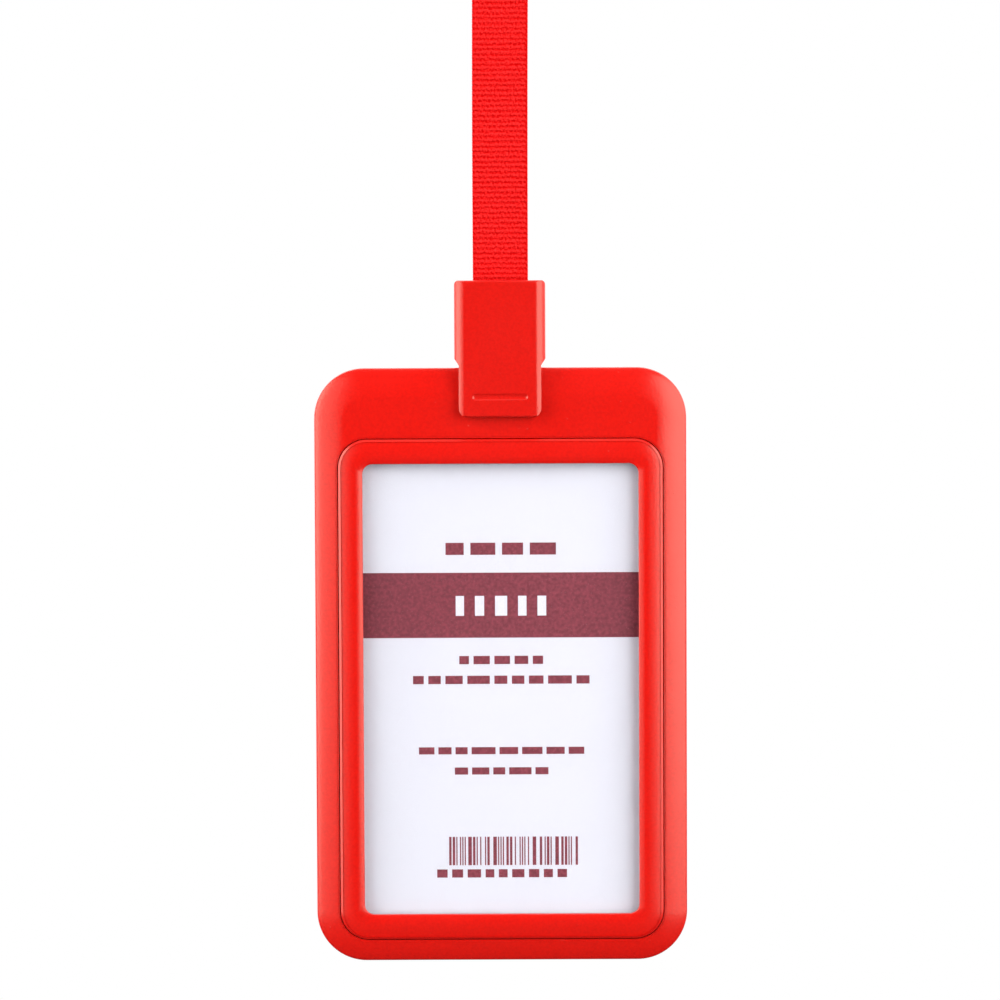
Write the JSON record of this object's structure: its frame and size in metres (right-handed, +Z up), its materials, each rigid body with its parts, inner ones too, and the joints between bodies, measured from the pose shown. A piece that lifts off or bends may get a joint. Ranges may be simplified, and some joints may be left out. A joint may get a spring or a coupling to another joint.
{
  "type": "lanyard badge holder",
  "caption": "Upright rigid card holder with a snap-in window bezel, hung by a hinged plastic clip from a flat woven lanyard strap.",
  "frame": {"origin": "the inner top of the strap's loop, where a hook or a neck carries the badge", "axes": "+Z up along the strap, -Y out of the window side of the badge, +X to the right seen from the front"},
  "size_m": [0.0672, 0.0174, 0.192],
  "materials": {
    "red_plastic": "fine satin moulded grain",
    "woven_strap": "ribbed polyester webbing",
    "steel": "plain bright steel",
    "clear_plastic": "clear rigid sheet",
    "printed_card": "smooth printed card"
  },
  "bodies": {
    "lanyard": {"lanyard_strap": "woven_strap"},
    "clip": {"clip_rear_shell": "red_plastic", "clip_hinge_pin": "steel", "strap_crimp": "steel", "lanyard_strap_end_front": "woven_strap", "lanyard_strap_end_rear": "woven_strap"},
    "clip_flap": {"clip_flap": "red_plastic"},
    "holder": {"holder_front_shell": "red_plastic", "holder_rear_cover": "red_plastic"},
    "bezel": {"bezel": "red_plastic", "window_pane": "clear_plastic"},
    "card": {"id_card": "printed_card"}
  },
  "joints": [
    {"name": "strap_flex", "type": "hinge", "parent": "lanyard", "child": "clip", "pos_m": [0, 0, -0.067], "axis": [1, 0, 0], "range_deg": [-25, 25]},
    {"name": "flap_hinge", "type": "hinge", "parent": "clip", "child": "clip_flap", "pos_m": [0, -0.0017, -0.0696], "axis": [1, 0, 0], "range_deg": [-45, 0]},
    {"name": "holder_release", "type": "slide", "parent": "clip", "child": "holder", "axis": [0, -1, 0], "range_m": [0, 0.0065]},
    {"name": "bezel_snap", "type": "slide", "parent": "holder", "child": "bezel", "axis": [0, -1, 0], "range_m": [0, 0.014]},
    {"name": "card_out", "type": "slide", "parent": "holder", "child": "card", "axis": [0, -1, 0], "range_m": [0, 0.007]}
  ],
  "couplings": [
    {"joint": "holder_release", "follows": "flap_hinge", "m_per_rad": -0.008},
    {"joint": "card_out", "follows": "bezel_snap", "ratio": 0.5}
  ]
}
